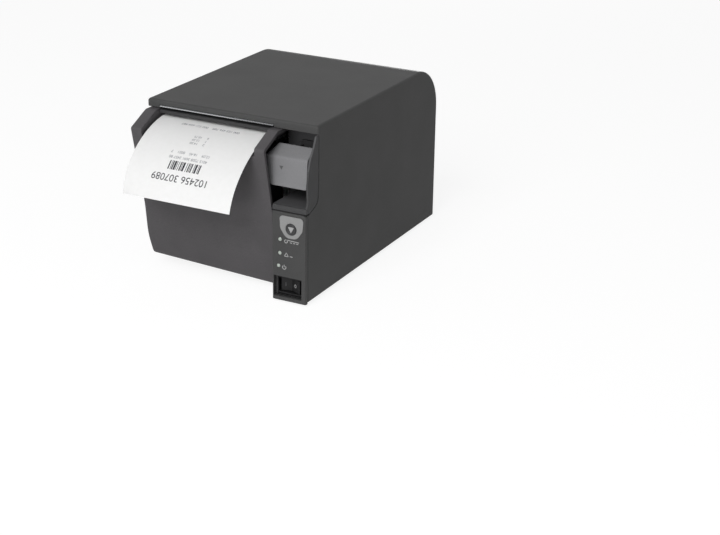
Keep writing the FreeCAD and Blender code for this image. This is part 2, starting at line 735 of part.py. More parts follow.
def make_paper():
    spot = (d.roll_y, d.roll_z)
    node("paper_roll", tube("x", d.roll_radius, d.core_radius, (paper_left, paper_right), spot))
    node("roll_core", tube("x", d.core_radius, d.core_bore, (paper_left - 0.2, paper_right + 0.2), spot))
    thick = d.paper_thick.value
    left, right = paper_left.value, paper_right.value
    plane = d.paper_plane.value
    bend = 8.3
    level = d.roll_z.value + d.roll_radius.value + 0.5
    turn, start, end = arc_yz((plane + bend, level + bend), bend, 270, 180)
    web = [line_yz(Vector(0, d.roll_y.value, level), start), turn, line_yz(end, Vector(0, plane, 97.4))]
    node("paper_web", feature(strip_shape(web, left, right, thick)))
    small = 4.3
    mouth, sweep, big = d.mouth_z.value, d.tongue_sweep.value, d.tongue_radius.value
    rise, first, second = arc_yz((plane - small, mouth - small), small, 0, 90)
    far = plane - small - 9.3
    hang, third, fourth = arc_yz((far, mouth - big), big, 90, 90 + sweep)
    node("receipt", feature(strip_shape([rise, line_yz(second, third), hang], left, right, thick)))


def make_cradle():
    low = 10 - 2.2
    spot = (d.roll_y, 10 + d.cradle_radius)
    shell = tube("x", d.cradle_radius + 2.2, d.cradle_radius, (-53.6, 30.6), spot)
    trough = common(shell, box((-55, 32), (-20, 55), (low - 1, 34)))
    ribs = [box((x, x + 2), (-4, 32), (4.5, low + 0.8)) for x in (-50, -12, 26)]
    node("roll_cradle", fuse(trough, *ribs))


# Exit and lever

def make_exit():
    body = new_body("tear_bar")
    root, tip = d.lip_front - 0.2, d.lip_front - 1.2
    points = [(30.8, -66), (-53.2, -66), (-53.2, root)]
    teeth = 42
    step = (30.8 + 53.2) / teeth
    for i in range(teeth):
        points.append((-53.2 + (i + 0.5) * step, tip))
        points.append((-53.2 + (i + 1) * step, root))
    pad(body, "z", points, (d.slot_low - 0.7, d.slot_low))
    node("tear_bar", body)
    guide = new_body("exit_guide")
    pad(guide, "x", [(-76.4, 105.6), (-76.4, 107.8), (-66, 107.8), (-66, 111.5), (-63, 111.5), (-63, 107.4),
                     (-65, 105.6)], (-52.9, 28.9))
    node("exit_guide", guide)


def make_lever():
    body = new_body("open_lever")
    left, right = d.lever_left, d.lever_right
    low, top = d.lever_low, d.lever_top
    pad(body, "x", [(d.fold_y, low), (d.fold_y, d.fold_z), (d.lever_back, top),
                    (d.lever_back + 1.17, top - 2.09), (d.fold_y + d.lever_wall, d.fold_z - 1.4),
                    (d.fold_y + d.lever_wall, low)], (left, right))
    for edge, foot, head in ((left, left + 2.2, left + 3.6), (right, right - 0.3, right - 0.4)):
        beyond = edge * 2 - head
        pocket(body, "y", [(foot, low - 3), (foot, low), (edge, d.fold_z), (head, top), (head, top + 3),
                           (beyond, top + 3), (beyond, low - 3)], (-100, -60))
    round_edges(body, 2.5, lies(y=-86, z=94.3))
    round_edges(body, 2, lies(y=(-86, -83.6), z=75.2, x=34), lies(y=(-86, -83.6), z=75.2, x=60.3))
    for x in (40, 51):
        pad(body, "x", [(-84.6, 82), (-84.6, 92), (-76, 97.8), (-66.6, 96.6), (-66.6, 89.6), (-74, 89.6),
                        (-82, 82)], (x, x + 2))
    hole(body, "x", (d.pivot_y, d.pivot_z), d.pin_radius, (36, 56))
    node("open_lever", body)
    node("lever_pin", rod("x", d.pin_radius, (30.7, 58.4), (d.pivot_y, d.pivot_z)))
    latch = new_body("latch_plate")
    pad(latch, "x", [(-72.8, 90), (-72.8, 96), (-60, 94.6), (-56.4, 92), (-56.4, 90.2), (-60.6, 90.2),
                     (-61.4, 88.9), (-62.6, 88.9), (-63.6, 90)], (30.7, 31.7))
    hole(latch, "x", (d.pivot_y, d.pivot_z), d.pin_radius, (28, 34))
    node("latch_plate", latch)
    node("lever_spring", feature(spring_along_x(45.6, 50.6, 2.3, 0.3)))


def make_lever_housing():
    """The wall behind the lever, the ledge under it and the cheek beside it, which closes the case's side."""
    back = -60.3
    bracket = new_body("lever_bracket")
    pad(bracket, "x", rectangle((back - 2, back), (87, 99)), (43, 58))
    for x in (43, 56):
        pad(bracket, "x", rectangle((-73.2, back), (89.8, 96.4)), (x, x + 2))
    hole(bracket, "x", (d.pivot_y, d.pivot_z), d.pin_radius + 0.05, (40, 60))
    node("lever_bracket", bracket)
    well = new_body("lever_well")
    pad(well, "x", rectangle((back, back + 2), (4.6, d.lip_low)), (32.6, 59.6))
    front, low, top = d.panel_front + 0.5, d.ledge_low, d.ledge_top
    brow = [(front + 1.2, top), (front + 0.4, top - 0.4), (front, top - 1.2), (front, low)]
    pad(well, "x", [(back + 1, low), (back + 1, top), *brow], (d.panel_left + 0.2, 59.6))
    pad(well, "x", [(-85, low), (-85, top), *brow], (59, half_width - 1))
    seam = [(-86, low), (-78.75, 63.95), (-76.7, 65.55), (-75.75, 67.85), (-74.9, 78), (-74.9, 107.9)]
    cheek = [(-77.5, 107.9), (-80.4, 101.5), (-84.6, 95.4), (-87, 88), (-88.4, 78), (-87.6, 69)]
    pad(well, "x", [*seam, *cheek, *brow], (half_width - 1.5, half_width))
    node("lever_well", well)


def spring_along_x(start, end, radius, wire):
    shape = spring_along_y(0, 0, start, end, radius, wire)
    shape.rotate(Vector(), Vector(0, 0, 1), -90)
    shape.translate(Vector(0, d.pivot_y.value, d.pivot_z.value))
    return shape


# Electronics and rear

def make_rear():
    back = d.rear_plate
    board = box((-56, 56), (d.board_y, d.board_y + d.board_thick), (8, 78))
    node("main_board", board)
    face = d.board_y + d.board_thick
    caps = [rod("y", 5, (face, face + 10), (x, 66)) for x in (-20, -6)]
    chips = [box((12, 34), (face, face + 2.2), (48, 70)), box((-46, -34), (face, face + 1.8), (52, 64)),
             box((40, 52), (face, face + 6), (54, 60))]
    node("board_parts", group(*caps, *chips))
    plate = box((-53.5, 53.5), (back, back + 1), (5, 43.5))
    gaps = [box((x - w / 2, x + w / 2), (back - 1, back + 3), (z - h / 2, z + h / 2))
            for x, w, z, h in ((40, 18.4, 22, 18.4), (20, 14.4, 20, 14.4), (-16, 50, 21, 24))]
    node("rear_panel", cut(plate, *gaps))
    card = box((-46, 12), (back + 1, back + 1.8), (6.5, 35.5))
    gaps = [box((x - w / 2, x + w / 2), (back - 1, back + 3), (z - h / 2, z + h / 2))
            for x, w, z, h in ((-24, 16.4, 20, 14), (0, 12.4, 20, 11.4))]
    screw_spots = ((-42.6, 11), (9.4, 11))
    node("interface_plate", cut(card, *gaps))
    heads = [rod("y", 3, (back + 1.8, back + 3.6), spot) for spot in screw_spots]
    slots = [box((x - 2, x + 2), (back + 2.8, back + 4), (z - 0.4, z + 0.4)) for x, z in screw_spots]
    node("card_screws", group(*[cut(h, s) for h, s in zip(heads, slots)]))
    make_sockets(face, back)


def make_sockets(face, back):
    mouth = back + 2.6
    dc = cut(box((31, 49), (face, mouth), (13, 31)), rod("y", 6, (face + 3, mouth + 1), (40, 22)))
    spots = ((37.4, 20.5), (42.6, 20.5), (40, 25))
    pins = [rod("y", 0.7, (face + 2, mouth - 1.5), spot) for spot in spots]
    node("dc_inlet", fuse(dc, *pins))
    deep = (face + 2.2, mouth + 1)
    shell = box((13, 27), (face, mouth), (13, 27))
    plug, clip = box((15.1, 24.9), deep, (17.4, 24.2)), box((18.4, 21.6), deep, (14.6, 18))
    node("drawer_jack", cut(shell, plug, clip))
    shell = box((-6, 6), (face, mouth), (14.5, 25.5))
    tongue = box((-2.8, 2.8), (face + 1, mouth - 1), (18.4, 21.6))
    node("usb_socket", fuse(cut(shell, box((-4.3, 4.3), deep, (16.1, 23.9))), tongue))
    shell = box((-32, -16), (face, mouth), (13.2, 26.8))
    plug, clip = box((-29.9, -18.1), deep, (17.6, 25.4)), box((-27, -21), deep, (14.8, 18))
    node("lan_jack", cut(shell, plug, clip))


def make_small_parts():
    spots = [(x, y) for x in (-d.foot_x, d.foot_x) for y in (d.foot_front, d.foot_rear)]
    node("feet", group(*[rod("z", d.foot_radius, (0, 2.6), s) for s in spots]))
    screws = [(-30, -40), (30, -40), (-30, 64), (30, 64)]
    node("base_screws", group(*[rod("z", 2.6, (4.5, 6.2), s) for s in screws]))
    posts = [rod("y", 2.5, (72, d.board_y), s) for s in ((-50, 14), (50, 14), (-50, 72), (50, 72))]
    wall = box((-56, 56), (70, 72), (4.5, 80))
    node("board_carrier", fuse(wall, *posts))
    node("near_end_sensor", box((-58.6, -55), (8, 18), (16, 26)))
    node("paper_sensor", box((-14, -4), (-47.8, -43.6), (82, 86)))
    node("cover_switch", fuse(box((33, 37), (-58.3, -50), (66, 76)), box((32.2, 33), (-56, -51), (68, 74))))


make_top_case()
make_base_tray()
make_control_panel()
make_panel_parts()
make_power_switch()
make_front_cover()
make_cover_frame()
make_platen()
idler_spot, motor_spot = make_feed_gears()
make_frames(idler_spot, motor_spot)
make_head()
make_cutter()
make_paper()
make_cradle()
make_exit()
make_lever()
make_lever_housing()
make_rear()
make_small_parts()

doc.recompute()
for obj in doc.Objects:
    if "Invalid" in obj.State or "Error" in obj.State:
        raise RuntimeError(f"{obj.Name} ({obj.Label}) did not build: {obj.State}")
os.makedirs("parts", exist_ok=True)
for obj in NODES:
    shape = obj.Shape
    if shape.isNull() or not shape.isValid() or not shape.Solids:
        raise RuntimeError(f"{obj.Label} is not a valid solid")
    shape.exportStep(f"parts/{obj.Label}.step")
    b = shape.BoundBox
    print(f"{obj.Label:18s} {len(shape.Solids)} solids {shape.Volume:10.1f} mm3  "
          f"x {b.XMin:7.2f} {b.XMax:7.2f}  y {b.YMin:7.2f} {b.YMax:7.2f}  z {b.ZMin:7.2f} {b.ZMax:7.2f}")
print(len(NODES), "sub-parts")
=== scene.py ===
import json
import math

import bmesh
import bpy
from mathutils import Matrix, Vector


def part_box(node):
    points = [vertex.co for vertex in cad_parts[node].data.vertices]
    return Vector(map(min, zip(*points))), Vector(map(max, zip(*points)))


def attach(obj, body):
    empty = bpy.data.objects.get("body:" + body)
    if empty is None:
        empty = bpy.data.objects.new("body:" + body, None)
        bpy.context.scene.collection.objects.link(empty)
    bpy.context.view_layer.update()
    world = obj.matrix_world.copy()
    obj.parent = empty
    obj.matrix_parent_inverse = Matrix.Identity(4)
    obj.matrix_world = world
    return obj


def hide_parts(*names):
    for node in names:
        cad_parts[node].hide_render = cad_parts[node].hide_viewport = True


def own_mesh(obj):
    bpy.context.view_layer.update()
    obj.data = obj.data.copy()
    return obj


# A front-loading receipt printer, dressed around its CAD frame.
# Sizes are written in millimetres and turned to metres by MM. X is to the right, Y to the back, Z up.

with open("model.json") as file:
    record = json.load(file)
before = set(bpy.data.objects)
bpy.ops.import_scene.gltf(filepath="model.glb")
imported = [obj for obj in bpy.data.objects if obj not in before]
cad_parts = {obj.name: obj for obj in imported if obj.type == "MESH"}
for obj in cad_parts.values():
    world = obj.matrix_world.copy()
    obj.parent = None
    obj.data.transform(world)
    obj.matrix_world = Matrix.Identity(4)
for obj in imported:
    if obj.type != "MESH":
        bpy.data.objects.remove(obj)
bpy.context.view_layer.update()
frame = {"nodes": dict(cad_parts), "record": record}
nodes = frame["nodes"]
node_body = {n: body for body, names in frame["record"]["behaviour"]["bodies"].items() for n in names}
MM = 0.001


def corners(node):
    """A CAD node's lowest and highest corner in millimetres."""
    low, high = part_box(node)
    return low / MM, high / MM


# Depths are written from the middle of the case, which stands behind the middle of the whole outline.
case_depth = 194
case_middle = corners("top_case")[1].y - case_depth / 2


def spot(x, depth, z):
    """A point by its depth from the middle of the case."""
    return Vector((x, depth + case_middle, z))


# Materials

def linear(text):
    """An sRGB hex colour as the linear values that the shaders take."""
    parts = [int(text[i:i + 2], 16) / 255 for i in (1, 3, 5)]
    return [c / 12.92 if c <= 0.04045 else ((c + 0.055) / 1.055) ** 2.4 for c in parts] + [1.0]


def per_mm(size):
    """The scale of a pattern whose features are this many millimetres across."""
    return 1 / (size * MM)


def add_node(tree, kind, links=None, **settings):
    """Adds a shader node with its settings; links gives its inputs other sockets or plain values."""
    node = tree.nodes.new(kind)
    for name, value in settings.items():
        setattr(node, name, value)
    for name, value in (links or {}).items():
        if isinstance(value, bpy.types.NodeSocket):
            tree.links.new(value, node.inputs[name])
        else:
            node.inputs[name].default_value = value
    return node


def new_material(name):
    """An empty material with its tree and the socket of object coordinates."""
    material = bpy.data.materials.new(name)
    material.use_nodes = True
    tree = material.node_tree
    tree.nodes.clear()
    place = add_node(tree, "ShaderNodeTexCoord").outputs["Object"]
    return material, tree, place


def finish_surface(tree, factor, dark, light, links):
    """Ends a material: a factor's colour between two tones, the shader's other inputs and the output."""
    tone = add_node(tree, "ShaderNodeMix", {0: factor, 6: linear(dark), 7: linear(light)}, data_type="RGBA")
    surface = add_node(tree, "ShaderNodeBsdfPrincipled", {"Base Color": tone.outputs[2], **links})
    add_node(tree, "ShaderNodeOutputMaterial", {"Surface": surface.outputs["BSDF"]})


def moulded_plastic(name, dark, light, roughness, grain=0.7, relief=0.05, gloss=0.22):
    """Moulded ABS from a spark-eroded mould: an even matt skin of fine pits that spreads the gloss.
    The real grain is about 0.1 mm; it is drawn coarser so that it shows."""
    material, tree, place = new_material(name)
    drift = add_node(tree, "ShaderNodeTexNoise", {"Vector": place, "Scale": per_mm(28), "Detail": 3})
    pits = add_node(tree, "ShaderNodeTexNoise", {"Vector": place, "Scale": per_mm(grain), "Detail": 2})
    both = add_node(tree, "ShaderNodeMath", {0: drift.outputs["Fac"], 1: pits.outputs["Fac"]},
                    operation="MULTIPLY")
    stretch = add_node(tree, "ShaderNodeMapRange", {"Value": both.outputs["Value"], "From Min": 0.0,
                                                    "From Max": 0.5})
    bump = add_node(tree, "ShaderNodeBump", {"Height": pits.outputs["Fac"], "Strength": 0.35,
                                             "Distance": relief * MM})
    spread = add_node(tree, "ShaderNodeMapRange", {"Value": pits.outputs["Fac"], "To Min": roughness - 0.08,
                                                   "To Max": roughness + 0.08})
    finish_surface(tree, stretch.outputs["Result"], dark, light,
                   {"Roughness": spread.outputs["Result"], "IOR": 1.5, "Specular IOR Level": gloss,
                    "Normal": bump.outputs["Normal"]})
    return material


def brushed_metal(name, dark, light, roughness, along, line=0.35):
    """Ground or rolled metal: lines one way, which stretch the highlights across them."""
    material, tree, place = new_material(name)
    stretch = [1.0, 1.0, 1.0]
    stretch["xyz".index(along)] = 0.02
    turned = add_node(tree, "ShaderNodeMapping", {"Vector": place, "Scale": stretch})
    lines = add_node(tree, "ShaderNodeTexNoise", {"Vector": turned.outputs["Vector"], "Scale": per_mm(line),
                                                  "Detail": 4})
    spread = add_node(tree, "ShaderNodeMapRange", {"Value": lines.outputs["Fac"], "To Min": roughness - 0.1,
                                                   "To Max": roughness + 0.12})
    bump = add_node(tree, "ShaderNodeBump", {"Height": lines.outputs["Fac"], "Strength": 0.2,
                                             "Distance": 0.02 * MM})
    finish_surface(tree, lines.outputs["Fac"], dark, light,
                   {"Metallic": 1.0, "Roughness": spread.outputs["Result"],
                    "Normal": bump.outputs["Normal"]})
    return material


def plated_metal(name, dark, light, roughness, spangle=5):
    """Plated sheet: a faint cloudy spangle over an even tone."""
    material, tree, place = new_material(name)
    cells = add_node(tree, "ShaderNodeTexVoronoi", {"Vector": place, "Scale": per_mm(spangle)})
    cloud = add_node(tree, "ShaderNodeTexNoise", {"Vector": place, "Scale": per_mm(2 * spangle),
                                                  "Detail": 4})
    both = add_node(tree, "ShaderNodeMath", {0: cells.outputs["Color"], 1: 0.4, 2: cloud.outputs["Fac"]},
                    operation="MULTIPLY_ADD")
    spread = add_node(tree, "ShaderNodeMapRange", {"Value": cloud.outputs["Fac"],
                                                   "To Min": roughness - 0.08, "To Max": roughness + 0.1})
    finish_surface(tree, both.outputs["Value"], dark, light,
                   {"Metallic": 1.0, "Roughness": spread.outputs["Result"]})
    return material


def ground_rubber(name, dark, light):
    """Nitrile rubber ground to size: dull, with a faint powdery bloom."""
    material, tree, place = new_material(name)
    bloom = add_node(tree, "ShaderNodeTexNoise", {"Vector": place, "Scale": per_mm(6), "Detail": 6})
    grit = add_node(tree, "ShaderNodeTexNoise", {"Vector": place, "Scale": per_mm(0.5), "Detail": 2})
    bump = add_node(tree, "ShaderNodeBump", {"Height": grit.outputs["Fac"], "Strength": 0.5,
                                             "Distance": 0.06 * MM})
    finish_surface(tree, bloom.outputs["Fac"], dark, light,
                   {"Roughness": 0.8, "IOR": 1.52, "Specular IOR Level": 0.25,
                    "Normal": bump.outputs["Normal"]})
    return material


def thermal_paper(name, dark, light):
    """Coated thermal paper: a smooth white sheet with a trace of fibre cloud and a slight sheen."""
    material, tree, place = new_material(name)
    cloud = add_node(tree, "ShaderNodeTexNoise", {"Vector": place, "Scale": per_mm(3), "Detail": 6})
    bump = add_node(tree, "ShaderNodeBump", {"Height": cloud.outputs["Fac"], "Strength": 0.12,
                                             "Distance": 0.03 * MM})
    finish_surface(tree, cloud.outputs["Fac"], dark, light,
                   {"Roughness": 0.55, "IOR": 1.45, "Specular IOR Level": 0.2,
                    "Normal": bump.outputs["Normal"]})
    return material


def wound_paper(name, centre, dark, light, ring=3.14):
    """The ends of a wound roll: hundreds of edges in rings.
    A real layer is 0.06 mm, too fine to show, so the rings are drawn 3 mm apart."""
    # The texture's waves in one unit at a scale of 1
    wave_rate = 20 / math.tau
    material, tree, place = new_material(name)
    moved = add_node(tree, "ShaderNodeMapping", {"Vector": place, "Location": -centre})
    rings = add_node(tree, "ShaderNodeTexWave", {"Vector": moved.outputs["Vector"],
                                                 "Scale": per_mm(ring) / wave_rate,
                                                 "Distortion": 0.6, "Detail": 2, "Detail Scale": 2},
                     wave_type="RINGS", rings_direction="X")
    bump = add_node(tree, "ShaderNodeBump", {"Height": rings.outputs["Fac"], "Strength": 0.4,
                                             "Distance": 0.05 * MM})
    finish_surface(tree, rings.outputs["Fac"], dark, light,
                   {"Roughness": 0.7, "IOR": 1.45, "Specular IOR Level": 0.2,
                    "Normal": bump.outputs["Normal"]})
    return material


def wound_board(name, dark, light):
    """Grey-brown board wound to a tube: fibres run round it, and specks show."""
    material, tree, place = new_material(name)
    long_fibre = add_node(tree, "ShaderNodeMapping", {"Vector": place, "Scale": (1.0, 0.3, 0.3)})
    fibre = add_node(tree, "ShaderNodeTexNoise", {"Vector": long_fibre.outputs["Vector"],
                                                  "Scale": per_mm(0.8), "Detail": 5})
    bump = add_node(tree, "ShaderNodeBump", {"Height": fibre.outputs["Fac"], "Strength": 0.4,
                                             "Distance": 0.08 * MM})
    finish_surface(tree, fibre.outputs["Fac"], dark, light,
                   {"Roughness": 0.85, "IOR": 1.45, "Specular IOR Level": 0.2,
                    "Normal": bump.outputs["Normal"]})
    return material


def solder_mask(name, dark, light, track=2.2):
    """Circuit board: glossy green lacquer with copper tracks raised under it."""
    # The texture's rows of bricks in one unit at a scale of 1
    brick_rows = 4
    material, tree, place = new_material(name)
    flat = add_node(tree, "ShaderNodeMapping", {"Vector": place, "Rotation": (math.radians(90), 0, 0)})
    tracks = add_node(tree, "ShaderNodeTexBrick", {"Vector": flat.outputs["Vector"],
                                                   "Scale": per_mm(track) / brick_rows,
                                                   "Mortar Size": 0.06})
    bump = add_node(tree, "ShaderNodeBump", {"Height": tracks.outputs["Fac"], "Strength": 0.3,
                                             "Distance": 0.05 * MM})
    finish_surface(tree, tracks.outputs["Fac"], dark, light,
                   {"Roughness": 0.3, "IOR": 1.5, "Normal": bump.outputs["Normal"]})
    return material


def frosted_lens(name, dark, light):
    """Frosted light guide: milky and smooth, with a clear skin that catches the lamp."""
    material, tree, place = new_material(name)
    milk = add_node(tree, "ShaderNodeTexNoise", {"Vector": place, "Scale": per_mm(1.2), "Detail": 2})
    finish_surface(tree, milk.outputs["Fac"], dark, light,
                   {"Roughness": 0.18, "IOR": 1.58, "Coat Weight": 0.4, "Coat Roughness": 0.08})
    return material


def printed_ink(name, dark, light, speckle=0.3):
    """A printed or heated mark: flat colour with a little mottling at the dots of the print."""
    material, tree, place = new_material(name)
    dots = add_node(tree, "ShaderNodeTexNoise", {"Vector": place, "Scale": per_mm(speckle), "Detail": 3})
    finish_surface(tree, dots.outputs["Fac"], dark, light,
                   {"Roughness": 0.6, "IOR": 1.45, "Specular IOR Level": 0.2})
    return material


roll_low, roll_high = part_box("paper_roll")
case_abs = moulded_plastic("case_abs", "#404040", "#4c4c4c", 0.62)
cover_abs = moulded_plastic("cover_abs", "#4d4b4d", "#5b595b", 0.62)
column_abs = moulded_plastic("column_abs", "#3f3f3f", "#4c4c4c", 0.58)
black_abs = moulded_plastic("black_abs", "#161617", "#1f1f20", 0.5)
well_abs = moulded_plastic("well_abs", "#3b3b3c", "#464647", 0.6)
# Painted light: the inside of the lever's pocket gets a paler plastic than the well's own, to lift its
# shade
pocket_painted_light_abs = moulded_plastic("pocket_painted_light_abs", "#4c4c4d", "#58585a", 0.6)
guide_abs = moulded_plastic("guide_abs", "#333334", "#3d3d3e", 0.5)
lever_abs = moulded_plastic("lever_abs", "#7c7c7e", "#8a8a8c", 0.5)
pale_field = moulded_plastic("pale_printed_field", "#8f8f8f", "#9b9b9b", 0.45, grain=0.9, relief=0.02)
button_dark = moulded_plastic("button_abs", "#3a3a3b", "#454546", 0.42)
acetal = moulded_plastic("acetal", "#cfcdc4", "#dcdad1", 0.38, grain=1.5, relief=0.02)
connector_nylon = moulded_plastic("connector_nylon", "#18181a", "#222224", 0.38, grain=1.0)
alumina = moulded_plastic("alumina", "#c4c1b8", "#d2cfc6", 0.35, grain=1.2, relief=0.01)
head_glaze = moulded_plastic("glass_glaze", "#3a2c24", "#4a3a30", 0.15, grain=1.5, relief=0.005, gloss=0.5)
ground_steel = brushed_metal("ground_steel", "#b4b6b8", "#d4d6d8", 0.26, "x")
turned_steel = brushed_metal("turned_steel", "#a9abae", "#c8cacd", 0.3, "z")
aluminium = brushed_metal("extruded_aluminium", "#b8babc", "#cfd1d3", 0.38, "x")
zinc_plate = plated_metal("zinc_plated_steel", "#96999d", "#b9bcc0", 0.36)
tin_shell = plated_metal("tinned_shell", "#adafb1", "#c8cacb", 0.3, spangle=3)
motor_case = plated_metal("motor_case_steel", "#6c6e71", "#84868a", 0.42)
gold_plate = plated_metal("gold_plated_contact", "#c79a3c", "#e0b95c", 0.25, spangle=1)
platen_nitrile = ground_rubber("platen_nitrile", "#1d1d1f", "#2d2d30")
foot_rubber = ground_rubber("foot_rubber", "#161617", "#232324")
paper = thermal_paper("thermal_paper", "#f3f3f2", "#fafafa")
roll_ends = wound_paper("wound_paper", (roll_low + roll_high) / 2, "#d3d3d0", "#f0f0ee")
core_board = wound_board("wound_board", "#8d7a62", "#a8947a")
board_green = solder_mask("solder_mask", "#0e3d22", "#1a5a34")
lamp_lens = frosted_lens("lamp_lens", "#9aa39b", "#b8c0b8")
heat_print = printed_ink("heat_print", "#26262b", "#3d3d44")
faint_print = printed_ink("faint_heat_print", "#75757c", "#97979e")
pale_ink = printed_ink("pale_mark_ink", "#a0a0a0", "#b2b2b2")
lever_ink = printed_ink("lever_mark_ink", "#555556", "#626263")

# The CAD nodes by the material that they are made of
finishes = {
    case_abs: ["top_case"],
    cover_abs: ["front_cover"],
    column_abs: ["control_panel"],
    well_abs: ["lever_well", "lever_bracket"],
    guide_abs: ["exit_guide"],
    lever_abs: ["open_lever"],
    pale_field: ["button_surround"],
    black_abs: ["base_tray", "switch_frame", "power_rocker", "cover_frame", "roll_cradle", "board_carrier",
                "near_end_sensor", "paper_sensor", "cover_switch"],
    connector_nylon: ["dc_inlet", "drawer_jack", "board_parts"],
    ground_steel: ["tear_bar", "fixed_blade", "moving_blade"],
    turned_steel: ["hinge_rod", "platen_shaft", "idler_stud", "lever_pin", "head_springs", "lever_spring",
                   "base_screws", "card_screws"],
    zinc_plate: ["left_frame", "right_frame", "head_bracket", "cutter_frame", "latch_plate", "rear_panel",
                 "interface_plate"],
    tin_shell: ["usb_socket", "lan_jack"],
    motor_case: ["feed_motor", "cutter_motor"],
    aluminium: ["head_heatsink"],
    alumina: ["thermal_head"],
    platen_nitrile: ["platen_rubber"],
    foot_rubber: ["feet"],
    acetal: ["platen_bushes", "platen_gear", "idler_gear", "motor_pinion", "cutter_gear", "cutter_pinion"],
    paper: ["receipt", "paper_web"],
    roll_ends: ["paper_roll"],
    core_board: ["roll_core"],
    board_green: ["main_board", "panel_board"],
    lamp_lens: ["led_lenses"],
    button_dark: ["feed_button"],
}
node_finish = {name: finish for finish, names in finishes.items() for name in names}
for name, finish in node_finish.items():
    nodes[name].data.materials.clear()
    nodes[name].data.materials.append(finish)


# Mesh helpers

def corner_normals(bm, limit):
    """A normal for each corner of each face, weighed by area, so that flats stay flat beside rounds."""
    weighed = {face: face.normal * face.calc_area() for face in bm.faces}
    level = math.cos(limit)
    own_share = 0.001
    return [sum((weighed[other] for other in vert.link_faces if other.normal.dot(face.normal) > level),
                weighed[face] * own_share).normalized() for face in bm.faces for vert in face.verts]


def add_piece(name, bm, like, *materials, sharp=32, replaces=()):
    """Makes a piece of the bmesh. It rides with the body of a CAD node.
    Its edges are sharp past an angle in degrees."""
    limit = math.radians(sharp)
    bm.normal_update()
    for face in bm.faces:
        face.smooth = True
    for edge in bm.edges:
        edge.smooth = edge.calc_face_angle(math.pi) < limit
    normals = corner_normals(bm, limit)
    mesh = bpy.data.meshes.new(name)
    bm.to_mesh(mesh)
    bm.free()
    mesh.normals_split_custom_set(normals)
    for material in materials:
        mesh.materials.append(material)
    piece = bpy.data.objects.new(name, mesh)
    bpy.context.scene.collection.objects.link(piece)
    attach(piece, node_body[like])
    if replaces:
        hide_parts(*replaces)
    return piece


def whole(bm):
    """All of a bmesh, as its operators take it."""
    return bm.verts[:] + bm.edges[:] + bm.faces[:]


def round_off(bm, edges, radius, segments=2):
    """Rounds edges to a radius in millimetres."""
    bmesh.ops.bevel(bm, geom=edges, offset=radius * MM, offset_type="OFFSET", affect="EDGES",
                    segments=segments, profile=0.5, material=-1, clamp_overlap=False)


def add_block(bm, low, high):
    """A block between two corners in millimetres."""
    made = bmesh.ops.create_cube(bm, size=1)["verts"]
    low, high = Vector(low), Vector(high)
    bmesh.ops.scale(bm, vec=(high - low) * MM, verts=made)
    bmesh.ops.translate(bm, vec=(low + high) / 2 * MM, verts=made)
    return made


def add_turned(bm, profile, centre, axis, side, steps=48, closed=False):
    """Turns a profile of (radius, height) points about an axis through the centre, in millimetres."""
    axis, side = Vector(axis), Vector(side)
    ring = [bm.verts.new((centre + side * radius + axis * height) * MM) for radius, height in profile]
    pairs = list(zip(ring, ring[1:])) + ([(ring[-1], ring[0])] if closed else [])
    edges = [bm.edges.new(pair) for pair in pairs]
    bmesh.ops.spin(bm, geom=ring + edges, cent=centre * MM, axis=axis, angle=math.tau, steps=steps,
                   use_merge=True)


def close_up(bm):
    """Merges the seam and poles of turned shapes and points their faces outwards."""
    bmesh.ops.remove_doubles(bm, verts=bm.verts, dist=0.001 * MM)
    bmesh.ops.recalc_face_normals(bm, faces=bm.faces)


def has_room(edge, others, radius, straight=0.8, room=2.2):
    """Whether a round fits on an edge: where another sharp edge turns off it, both need room, in radii.
    Edges go straight on, and don't turn, past this cosine."""
    for vert in edge.verts:
        along = (edge.other_vert(vert).co - vert.co).normalized()
        for other in others.intersection(vert.link_edges) - {edge}:
            side = other.other_vert(vert).co - vert.co
            turns = abs(along.dot(side.normalized())) < straight
            if turns and min(edge.calc_length(), side.length) < room * radius * MM:
                return False
    return True


def finished_copy(node, radius, sharp=32, merge=0.002, flat=0.4):
    """A CAD node's own shape with its triangles merged and its edges rounded, as its tool leaves them.
    Faces within the flat angle become one, and edges past the sharp angle are rounded, both in degrees."""
    bm = bmesh.new()
    bm.from_mesh(nodes[node].data)
    bmesh.ops.remove_doubles(bm, verts=bm.verts, dist=merge * MM)
    bmesh.ops.dissolve_degenerate(bm, dist=merge * MM, edges=bm.edges)
    bmesh.ops.dissolve_limit(bm, angle_limit=math.radians(flat), verts=bm.verts, edges=bm.edges)
    limit = math.radians(sharp)
    edges = {e for e in bm.edges if e.is_manifold and e.calc_face_angle() > limit}
    round_off(bm, [e for e in bm.edges if e in edges and has_room(e, edges, radius)], radius)
    low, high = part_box(node)
    for vert in bm.verts:
        vert.co = [min(max(c, a), b) for c, a, b in zip(vert.co, low, high)]
    return bm


# Pieces that keep their CAD shape, by the radius that their edges are rounded to
edge_rounds = {
    0.5: ["top_case", "open_lever"],
    0.4: ["power_rocker", "roll_cradle", "cutter_motor"],
    0.3: ["control_panel", "lever_bracket", "exit_guide", "switch_frame", "cover_frame", "board_carrier",
          "platen_rubber", "near_end_sensor", "paper_sensor", "cover_switch", "base_screws", "card_screws"],
    0.2: ["base_tray", "feed_motor", "dc_inlet", "drawer_jack", "lan_jack", "usb_socket", "platen_shaft",
          "idler_stud", "lever_pin", "hinge_rod", "head_heatsink", "roll_core", "board_parts"],
    0.12: ["button_surround", "left_frame", "right_frame", "head_bracket", "cutter_frame", "latch_plate",
           "rear_panel", "interface_plate", "platen_bushes", "main_board", "panel_board"],
    0.06: ["tear_bar", "fixed_blade", "moving_blade", "thermal_head", "platen_gear", "idler_gear",
           "motor_pinion", "cutter_gear", "cutter_pinion"],
}
for radius, names in edge_rounds.items():
    for name in names:
        add_piece(f"{name}.finished", finished_copy(name, radius), name, node_finish[name], replaces=[name])
